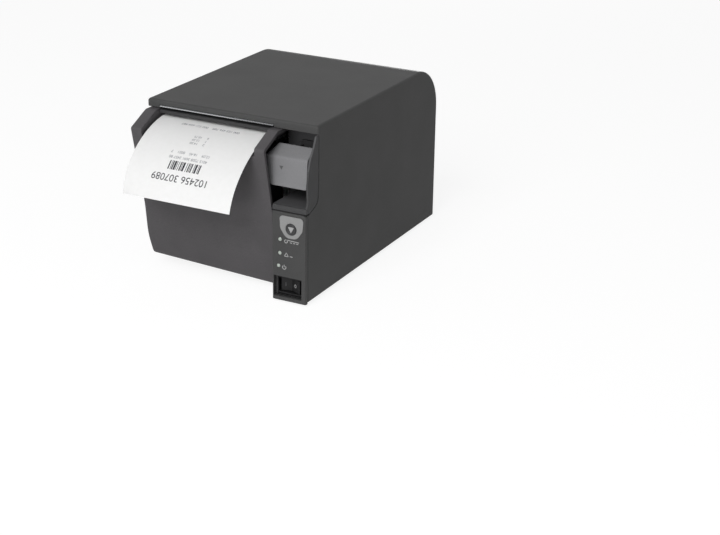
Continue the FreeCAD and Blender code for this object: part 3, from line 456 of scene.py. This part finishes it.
# Behind its ears the cover has a step of 0.02 mm, too fine to round, which the wider merge closes
add_piece("front_cover.finished", finished_copy("front_cover", 0.4, merge=0.03), "front_cover", cover_abs,
          replaces=["front_cover"])


def make_lever_well():
    """The wall round the lever, painted paler inside its pocket than on its outer side and brow, as painted
    light that lifts the shade in the pocket.
    """
    bm = finished_copy("lever_well", 0.3)
    low, high = corners("lever_well")
    outer_side = high.x - 0.4
    brow_depth = low.y + 3
    # Faces inside the pocket take the paler colour, which is painted light; the outer side and brow keep
    # the well's own
    for face in bm.faces:
        middle = face.calc_center_median() / MM
        face.material_index = int(middle.x < outer_side and middle.y > brow_depth)
    add_piece("lever_well.finished", bm, "lever_well", well_abs, pocket_painted_light_abs, replaces=["lever_well"])


make_lever_well()
springs = {}
for name in ("head_springs", "lever_spring"):
    springs[name] = add_piece(f"{name}.finished", finished_copy(name, 0.02, sharp=70), name,
                              node_finish[name], sharp=70, replaces=[name])
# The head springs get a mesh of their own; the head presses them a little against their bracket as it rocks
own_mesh(springs["head_springs"])


# Paper

paper_left, paper_right = corners("receipt")[0].x, corners("receipt")[1].x
paper_middle = (paper_left + paper_right) / 2
paper_width = paper_right - paper_left
paper_thick = 0.2
# Depth and height of the line where the knife cuts and of the centre of the bend at the mouth
cut_line = (-52.2, 99.8)
mouth_bend = (-56.6, 99.8)
mouth_run = 9.3
# The arc that the receipt hangs in: its centre, its radius and its sweep from straight up, in degrees
hang_centre = (-65.9, 39.8)
hang_radius = 64.4
hang_sweep = 65.5


def start_strip(depth, z, columns=20):
    """A line across the paper, from which a strip is swept."""
    bm = bmesh.new()
    ends = [bm.verts.new(spot(x, depth, z) * MM) for x in (paper_left, paper_right)]
    bmesh.ops.subdivide_edges(bm, edges=[bm.edges.new(ends)], cuts=columns - 1)
    return bm, bm.verts[:] + bm.edges[:]


def bend_strip(bm, line, centre, degrees, steps):
    """Sweeps a strip's last line round a centre, given by its depth and height."""
    swept = bmesh.ops.spin(bm, geom=line, cent=spot(0, *centre) * MM, axis=(1, 0, 0),
                           angle=math.radians(degrees), steps=steps)
    return swept["geom_last"]


def run_strip(bm, line, move):
    """Runs a strip's last line straight on."""
    edges = [g for g in line if isinstance(g, bmesh.types.BMEdge)]
    moved = bmesh.ops.extrude_edge_only(bm, edges=edges)["geom"]
    bmesh.ops.translate(bm, vec=Vector(move) * MM,
                        verts=[g for g in moved if isinstance(g, bmesh.types.BMVert)])
    return [g for g in moved if not isinstance(g, bmesh.types.BMFace)]


def hang_angle(point):
    """How far a point of the receipt has gone round the hanging arc, in radians from straight up."""
    centre = spot(0, *hang_centre)
    return math.atan2(centre.y - point.y / MM, point.z / MM - centre.z)


def curl_corners(bm):
    """Turns the free end's corners under a little, the left one more, as paper from a roll does."""
    centre = spot(0, *hang_centre) * MM
    for vert in bm.verts:
        to_end = (math.radians(hang_sweep) - hang_angle(vert.co)) * hang_radius
        for corner, reach, bend in ((paper_left, 24, 70), (paper_right, 16, 110)):
            past = max(reach - to_end - abs(vert.co.x / MM - corner), 0)
            inward = centre - vert.co
            inward.x = 0
            vert.co += inward.normalized() * (past ** 2 / (2 * bend) * MM)


def thicken(bm, thick):
    """Gives a swept sheet its thickness under the side that it was drawn on."""
    bmesh.ops.recalc_face_normals(bm, faces=bm.faces)
    if sum(f.normal.z - f.normal.y for f in bm.faces) < 0:
        bmesh.ops.reverse_faces(bm, faces=bm.faces)
    bmesh.ops.solidify(bm, geom=bm.faces[:], thickness=thick * MM)


def make_receipt():
    """The strip up from the knife, round the mouth's bend and down over the cover."""
    bm, line = start_strip(*cut_line)
    line = bend_strip(bm, line, mouth_bend, 90, 8)
    line = run_strip(bm, line, (0, -mouth_run, 0))
    bend_strip(bm, line, hang_centre, hang_sweep, 40)
    thicken(bm, paper_thick)
    curl_corners(bm)
    return add_piece("receipt_strip", bm, "receipt", paper, replaces=["receipt"])


def make_web(bend=8.3):
    """The paper from the roll, level to below the head and up past it to the knife."""
    low, high = corners("paper_web")
    half = paper_thick / 2
    level = low.z + paper_thick
    roll_depth = high.y - case_middle
    bend_depth = cut_line[0] - half + bend
    bm, line = start_strip(roll_depth, level)
    line = run_strip(bm, line, (0, bend_depth - roll_depth, 0))
    line = bend_strip(bm, line, (bend_depth, level + bend - half), -90, 10)
    run_strip(bm, line, (0, 0, high.z - level - bend + half))
    thicken(bm, paper_thick)
    return add_piece("feed_web", bm, "paper_web", paper, replaces=["paper_web"])


def lay_on_receipt(bm, along):
    """Lays a flat drawing in millimetres on the receipt, its foot this far from the free end.
    The first line printed comes out first, so the drawing's top is towards the free end."""
    heights = [v.co.y for v in bm.verts]
    for level in range(math.floor(min(heights)), math.ceil(max(heights)) + 1):
        bmesh.ops.bisect_plane(bm, geom=whole(bm), plane_co=(0, level, 0), plane_no=(0, 1, 0), dist=0.0001)
    centre = spot(0, *hang_centre)
    free = math.radians(hang_sweep)
    ink_lift, ink_thick = 0.03, 0.02
    reach = hang_radius + ink_lift
    for vert in bm.verts:
        turn = free - (along - vert.co.y) / hang_radius
        vert.co = Vector((paper_middle - vert.co.x, centre.y - reach * math.sin(turn),
                          centre.z + reach * math.cos(turn))) * MM
    curl_corners(bm)
    bmesh.ops.solidify(bm, geom=bm.faces[:], thickness=ink_thick * MM)


def number_row(text, height):
    """A row of figures as a flat drawing in millimetres, centred on its foot."""
    cap_share = 0.73
    curve = bpy.data.curves.new("figures", "FONT")
    curve.body = text
    curve.size = height / cap_share
    curve.align_x = "CENTER"
    holder = bpy.data.objects.new("figures", curve)
    mesh = bpy.data.meshes.new_from_object(holder)
    bm = bmesh.new()
    bm.from_mesh(mesh)
    bpy.data.objects.remove(holder)
    bpy.data.curves.remove(curve)
    bpy.data.meshes.remove(mesh)
    return bm


def bar_row(widths, unit, height):
    """Bars and gaps by turns, as a flat drawing in millimetres, centred on its foot."""
    bm = bmesh.new()
    left = -sum(widths) * unit / 2
    for i, width in enumerate(widths):
        if i % 2 == 0:
            place = Matrix.Translation((left + width * unit / 2, height / 2, 0))
            bmesh.ops.create_grid(bm, x_segments=1, y_segments=1, size=0.5,
                                  matrix=place @ Matrix.Diagonal((width * unit, height, 1, 1)))
        left += width * unit
    return bm


# Each row's name, figures, height and distance from the free end in millimetres, and its ink
figure_rows = (
    ("total", "102456 307089", 4.8, 17.5, heat_print),
    ("code", "4015 7208 3691 2457 80", 2.0, 30.5, faint_print),
    ("date", "12.09    16:45    0031    7", 2.0, 34.5, faint_print),
    ("line_1", "2     14.50", 1.9, 43, faint_print),
    ("line_2", "1     13.20", 1.9, 46, faint_print),
    ("line_3", "6     10.75", 1.9, 49, faint_print),
    ("head", "000 123 456 789    000 321 654 987", 2.1, 60, faint_print),
)
bar_widths = (2, 1, 1, 2, 3, 1, 1, 3, 2, 1, 1, 1, 2, 2, 1, 3, 3, 1, 1, 1, 2, 2, 1, 2, 1, 1, 3, 1, 2, 1, 1,
              2, 2)


def make_prints():
    """The rows of figures and the bars, each a thin piece of ink on the receipt."""
    prints = []
    for name, figures, height, along, ink in figure_rows:
        bm = number_row(figures, height)
        lay_on_receipt(bm, along)
        prints.append(add_piece(f"figures.{name}", bm, "receipt", ink))
    bm = bar_row(bar_widths, unit=0.42, height=6.2)
    lay_on_receipt(bm, along=27)
    prints.append(add_piece("bars", bm, "receipt", heat_print))
    return prints


receipt_strip = make_receipt()
feed_web = make_web()
prints = make_prints()


def make_roll(rings=22):
    """The wound roll. Its ends step in and out a little from layer to layer, as a roll's do."""
    low, high = corners("paper_roll")
    inner = 9.05
    outer = (high.z - low.z) / 2 + paper_thick
    half = paper_width / 2
    set_back = (0.0, 0.22, 0.08, 0.3)
    radii = [inner + (outer - inner) * i / rings for i in range(rings + 1)]
    steps = [half - set_back[i % len(set_back)] for i in range(rings + 1)]
    profile = list(zip(radii, steps)) + [(r, -s) for r, s in reversed(list(zip(radii, steps)))]
    bm = bmesh.new()
    add_turned(bm, profile, (low + high) / 2, (1, 0, 0), (0, 0, 1), steps=96, closed=True)
    close_up(bm)
    for face in bm.faces:
        face.material_index = int(abs(face.normal.x) < 0.5)
    add_piece("wound_roll", bm, "paper_roll", roll_ends, paper, sharp=60, replaces=["paper_roll"])


make_roll()


# Controls

panel_front = corners("control_panel")[0].y - case_middle
# Each lamp's place across and up
lamp_spots = ((44, 42.4), (43.8, 33.2), (42.8, 24.6))


def add_triangle(bm, width, height, sink, proud):
    """A triangle that points down, on the plane across X and Z, with its corners rounded."""
    points = ((-width / 2, height * 0.4), (width / 2, height * 0.4), (0, -height * 0.6))
    made = [bm.verts.new(Vector((x, -proud, z)) * MM) for x, z in points]
    face = bm.faces.new(made)
    grown = bmesh.ops.extrude_face_region(bm, geom=[face])["geom"]
    bmesh.ops.translate(bm, vec=(0, (proud + sink) * MM, 0),
                        verts=[g for g in grown if isinstance(g, bmesh.types.BMVert)])
    upright = [e for e in bm.edges if abs(e.verts[0].co.y - e.verts[1].co.y) > 0.01 * MM]
    round_off(bm, upright, width * 0.07, segments=3)
    bmesh.ops.recalc_face_normals(bm, faces=bm.faces)


def add_stroke(bm, start, end, width=0.5, sink=0.1, proud=0.04):
    """A straight stroke of ink between two points of the plane across X and Z."""
    (x0, z0), (x1, z1) = start, end
    length = math.hypot(x1 - x0, z1 - z0)
    made = add_block(bm, (-length / 2, -proud, -width / 2), (length / 2, sink, width / 2))
    turn = Matrix.Rotation(-math.atan2(z1 - z0, x1 - x0), 4, "Y")
    place = Matrix.Translation(Vector(((x0 + x1) / 2, 0, (z0 + z1) / 2)) * MM)
    bmesh.ops.transform(bm, matrix=place @ turn, verts=made)


def add_ring(bm, centre, radius, width=0.5, sink=0.1, proud=0.04):
    """A round stroke of ink about a point of the plane across X and Z."""
    x, z = centre
    section = [(radius - width / 2, -proud), (radius + width / 2, -proud), (radius + width / 2, sink),
               (radius - width / 2, sink)]
    add_turned(bm, section, Vector((x, 0, z)), (0, 1, 0), (1, 0, 0), steps=32, closed=True)


def put_mark(bm, place, turn=0.0):
    """Moves a mark from the origin to its place on a face that is turned about Z by some degrees."""
    close_up(bm)
    turned = Matrix.Rotation(math.radians(turn), 4, "Z")
    bmesh.ops.transform(bm, matrix=Matrix.Translation(place * MM) @ turned, verts=bm.verts)


def make_feed_button():
    """A round button with a raised rim and a dished face, and a plain arrow for feeding paper."""
    low, high = corners("feed_button")
    middle = (low + high) / 2
    front = Vector((middle.x, low.y, middle.z))
    arrow_depth = 0.62
    profile = [(0, 0.75), (1.4, 0.7), (2.4, 0.52), (2.8, 0.24), (3.0, 0.06), (3.2, 0), (3.45, 0.06),
               (3.62, 0.22), (3.7, 0.5), (3.7, 3.6), (4.6, 3.7), (4.6, 4.2), (0, 4.2)]
    bm = bmesh.new()
    add_turned(bm, profile, front, (0, 1, 0), (1, 0, 0))
    close_up(bm)
    add_piece("feed_button_cap", bm, "feed_button", button_dark, replaces=["feed_button"])
    bm = bmesh.new()
    add_triangle(bm, 4.4, 3.8, sink=0.5, proud=0.12)
    put_mark(bm, front + Vector((0, arrow_depth, 0)))
    add_piece("feed_arrow", bm, "feed_button", pale_ink)


def make_lamps():
    """Three small domes of frosted plastic."""
    profile = [(0, -0.2), (0.45, -0.18), (0.85, -0.08), (1.12, 0.08), (1.26, 0.3), (1.28, 0.6), (1.28, 5.8),
               (0, 5.8)]
    bm = bmesh.new()
    for x, z in lamp_spots:
        add_turned(bm, profile, spot(x, panel_front, z), (0, 1, 0), (1, 0, 0), steps=32)
    close_up(bm)
    add_piece("lamp_domes", bm, "led_lenses", lamp_lens, replaces=["led_lenses"])


def make_panel_marks():
    """Plain signs beside the lamps: paper, fault and power."""
    first, second, third = lamp_spots
    bm = bmesh.new()
    add_ring(bm, (4.4, 0), 1.0)
    add_stroke(bm, (4.4, 1.0), (13.6, 0.6))
    for x in (7.2, 9.4, 11.6):
        add_stroke(bm, (x, -0.4), (x + 1.5, -0.45))
    put_mark(bm, spot(first[0], panel_front, first[1] - 0.6))
    add_piece("paper_sign", bm, "control_panel", pale_ink)
    bm = bmesh.new()
    for start, end in (((3.4, -1.2), (6.2, -1.2)), ((6.2, -1.2), (4.8, 1.2)), ((4.8, 1.2), (3.4, -1.2))):
        add_stroke(bm, start, end, 0.42)
    add_stroke(bm, (7.2, -0.9), (9.2, -0.9))
    put_mark(bm, spot(second[0], panel_front, second[1] - 0.2))
    add_piece("fault_sign", bm, "control_panel", pale_ink)
    bm = bmesh.new()
    add_ring(bm, (4.2, -0.2), 1.25)
    bmesh.ops.bisect_plane(bm, geom=whole(bm), plane_co=Vector((0, 0, 0.65)) * MM, plane_no=(0, 0, 1),
                           clear_outer=True)
    bmesh.ops.holes_fill(bm, edges=bm.edges[:])
    add_stroke(bm, (4.2, -0.1), (4.2, 1.5))
    put_mark(bm, spot(third[0], panel_front, third[1] - 0.2))
    add_piece("power_sign", bm, "control_panel", pale_ink)


def make_rocker_marks():
    """The two ends of the power switch: a ring for off and a stroke for on."""
    low, high = corners("power_rocker")
    switch_x, z = 49.2, (low.z + high.z) / 2
    ring_depth, ring_turn = -86.15, -24.3
    stroke_depth, stroke_turn = -85.73, 13.1
    line = 0.45
    bm = bmesh.new()
    add_ring(bm, (0, 0), 0.9, line)
    put_mark(bm, spot(switch_x + 3.0, ring_depth, z), turn=ring_turn)
    add_piece("rocker_ring", bm, "power_rocker", pale_ink)
    bm = bmesh.new()
    add_stroke(bm, (0, -1.3), (0, 1.3), line)
    put_mark(bm, spot(switch_x - 4.0, stroke_depth, z), turn=stroke_turn)
    add_piece("rocker_stroke", bm, "power_rocker", lever_ink)


def make_lever_mark():
    """A plain arrow printed on the lever's face."""
    arrow_x, arrow_z = 42.4, 87.6
    bm = bmesh.new()
    add_triangle(bm, 2.8, 2.6, sink=0.3, proud=0.03)
    put_mark(bm, Vector((arrow_x, corners("open_lever")[0].y, arrow_z)))
    add_piece("lever_arrow", bm, "open_lever", lever_ink)


make_feed_button()
make_lamps()
make_panel_marks()
make_rocker_marks()
make_lever_mark()


# Underside, rear and inside

def make_feet():
    """Rubber feet with rounded rims, hollowed under the middle."""
    low, high = corners("feet")
    reach, top = 6.5, 2.6
    profile = [(0, 0.5), (3.2, 0.5), (3.6, 0.16), (3.9, 0), (5.9, 0), (6.3, 0.14), (reach, 0.5),
               (reach, top), (0, top)]
    bm = bmesh.new()
    for x in (low.x + reach, high.x - reach):
        for y in (low.y + reach, high.y - reach):
            add_turned(bm, profile, Vector((x, y, 0)), (0, 0, 1), (1, 0, 0))
    close_up(bm)
    add_piece("rubber_feet", bm, "feet", foot_rubber, sharp=40, replaces=["feet"])


def make_contacts(name, like, middle, count, start, end, thick=0.4, pitch=1.02):
    """A row of gilt springs in a socket; start and end are each one's depth and height."""
    bm = bmesh.new()
    (y0, z0), (y1, z1) = start, end
    length = math.hypot(y1 - y0, z1 - z0)
    turn = Matrix.Rotation(math.atan2(z1 - z0, y1 - y0), 4, "X")
    for i in range(count):
        x = middle + (i - (count - 1) / 2) * pitch
        made = add_block(bm, (-thick / 2, -length / 2, -thick / 2), (thick / 2, length / 2, thick / 2))
        place = Matrix.Translation(spot(x, (y0 + y1) / 2, (z0 + z1) / 2) * MM)
        bmesh.ops.transform(bm, matrix=place @ turn, verts=made)
    round_off(bm, bm.edges[:], 0.1)
    add_piece(name, bm, like, gold_plate)


def make_power_pins():
    """Round pins with domed tips in the power inlet."""
    profile = [(0, 9.6), (0.5, 9.5), (0.85, 9.1), (0.9, 8.6), (0.9, 0), (0, 0)]
    root = 83.2
    bm = bmesh.new()
    for x, z in ((37.4, 20.5), (42.6, 20.5), (40, 25)):
        add_turned(bm, profile, spot(x, root, z), (0, 1, 0), (1, 0, 0), steps=20)
    close_up(bm)
    add_piece("power_pins", bm, "dc_inlet", tin_shell)


def make_head_line():
    """The glazed bead along the thermal head that presses on the paper."""
    low, high = corners("thermal_head")
    end_gap, proud, sink = 0.6, 0.18, 0.3
    foot, top = 1.2, 2.6
    bm = bmesh.new()
    add_block(bm, (low.x + end_gap, low.y - proud, low.z + foot),
              (high.x - end_gap, low.y + sink, low.z + top))
    round_off(bm, [e for e in bm.edges if abs(e.verts[0].co.x - e.verts[1].co.x) > MM], 0.14)
    add_piece("head_line", bm, "thermal_head", head_glaze)


make_feet()
make_contacts("network_contacts", "lan_jack", -24, 8, (84, 25.0), (91, 23.2))
make_contacts("drawer_contacts", "drawer_jack", 20, 6, (84, 23.8), (90.5, 22.3))
make_contacts("usb_contacts", "usb_socket", 0, 2, (85, 21.62), (92.4, 21.62), thick=0.9, pitch=2.6)
make_power_pins()
make_head_line()


# Stage, camera and light

camera_azimuth = math.radians(27.228)
camera_elevation = math.radians(22.15)
camera_roll = math.radians(0.836)
camera_distance = 1072.914
camera_across = 46.43
camera_rise = -69.11
image_width = 720
focal_pixels = 1588
sensor_width = 36
look_at = spot(0, 0, 57)


def add_camera():
    """The photograph's point of view, with no shift."""
    back = Vector((math.sin(camera_azimuth) * math.cos(camera_elevation),
                   -math.cos(camera_azimuth) * math.cos(camera_elevation), math.sin(camera_elevation)))
    level = back.cross(Vector((0, 0, -1))).normalized()
    rise = back.cross(level)
    right = level * math.cos(camera_roll) + rise * math.sin(camera_roll)
    up = rise * math.cos(camera_roll) - level * math.sin(camera_roll)
    place = look_at + back * camera_distance + right * camera_across + up * camera_rise
    data = bpy.data.cameras.new("camera")
    data.sensor_width = sensor_width
    data.lens = focal_pixels * sensor_width / image_width
    camera = bpy.data.objects.new("camera", data)
    turn = Matrix((right, up, back)).transposed()
    camera.matrix_world = Matrix.Translation(place * MM) @ turn.to_4x4()
    bpy.context.scene.collection.objects.link(camera)
    bpy.context.scene.camera = camera


def seen_directly(tree):
    """One for what the camera sees straight, in a gloss or through glass, and nought for plain light."""
    path = add_node(tree, "ShaderNodeLightPath")
    total = add_node(tree, "ShaderNodeMath", {0: path.outputs["Is Camera Ray"],
                                              1: path.outputs["Is Glossy Ray"]}, operation="ADD")
    total = add_node(tree, "ShaderNodeMath", {0: total.outputs["Value"],
                                              1: path.outputs["Is Transmission Ray"]},
                     operation="ADD", use_clamp=True)
    return total.outputs["Value"]


def add_floor(size=6.0, glow=0.75, strength=1.16):
    """A plain white floor that keeps the shadow softly. Its size is in metres."""
    bm = bmesh.new()
    bmesh.ops.create_grid(bm, x_segments=1, y_segments=1, size=size)
    mesh = bpy.data.meshes.new("floor")
    bm.to_mesh(mesh)
    bm.free()
    material, tree, _ = new_material("white_floor")
    matt = add_node(tree, "ShaderNodeBsdfDiffuse", {"Color": linear("#f4f4f4")})
    lit = add_node(tree, "ShaderNodeEmission", {"Color": linear("#ffffff"), "Strength": strength})
    share = add_node(tree, "ShaderNodeMath", {0: seen_directly(tree), 1: glow}, operation="MULTIPLY")
    both = add_node(tree, "ShaderNodeMixShader", {"Fac": share.outputs["Value"], 1: matt.outputs["BSDF"],
                                                  2: lit.outputs["Emission"]})
    add_node(tree, "ShaderNodeOutputMaterial", {"Surface": both.outputs["Shader"]})
    mesh.materials.append(material)
    floor = bpy.data.objects.new("floor", mesh)
    bpy.context.scene.collection.objects.link(floor)


def add_world(ambient=0.2):
    """White for the eye and for reflections, and a lower even light on the object."""
    world = bpy.data.worlds.new("studio")
    world.use_nodes = True
    tree = world.node_tree
    tree.nodes.clear()
    level = add_node(tree, "ShaderNodeMapRange", {"Value": seen_directly(tree), "To Min": ambient,
                                                  "To Max": 1.0})
    sky = add_node(tree, "ShaderNodeBackground", {"Color": linear("#ffffff"),
                                                  "Strength": level.outputs["Result"]})
    add_node(tree, "ShaderNodeOutputWorld", {"Surface": sky.outputs["Background"]})
    bpy.context.scene.world = world


def add_lamp(name, place, power, size):
    """A square soft box that faces the printer. Its place and size are in metres, its power in watts."""
    data = bpy.data.lights.new(name, "AREA")
    data.energy = power
    data.size = size
    lamp = bpy.data.objects.new(name, data)
    lamp.location = place
    lamp.rotation_euler = (Vector(place) - look_at * MM).to_track_quat("Z", "Y").to_euler()
    bpy.context.scene.collection.objects.link(lamp)


add_camera()
add_floor()
add_world()
add_lamp("key_light", (0.1, -1.22, 1.08), 13.5, 0.9)
add_lamp("fill_light", (0.05, -1.5, 0.2), 4.5, 0.5)
add_lamp("rear_light", (-0.5, 1.3, 0.065), 3, 0.1)
bpy.context.scene.view_settings.view_transform = "Standard"
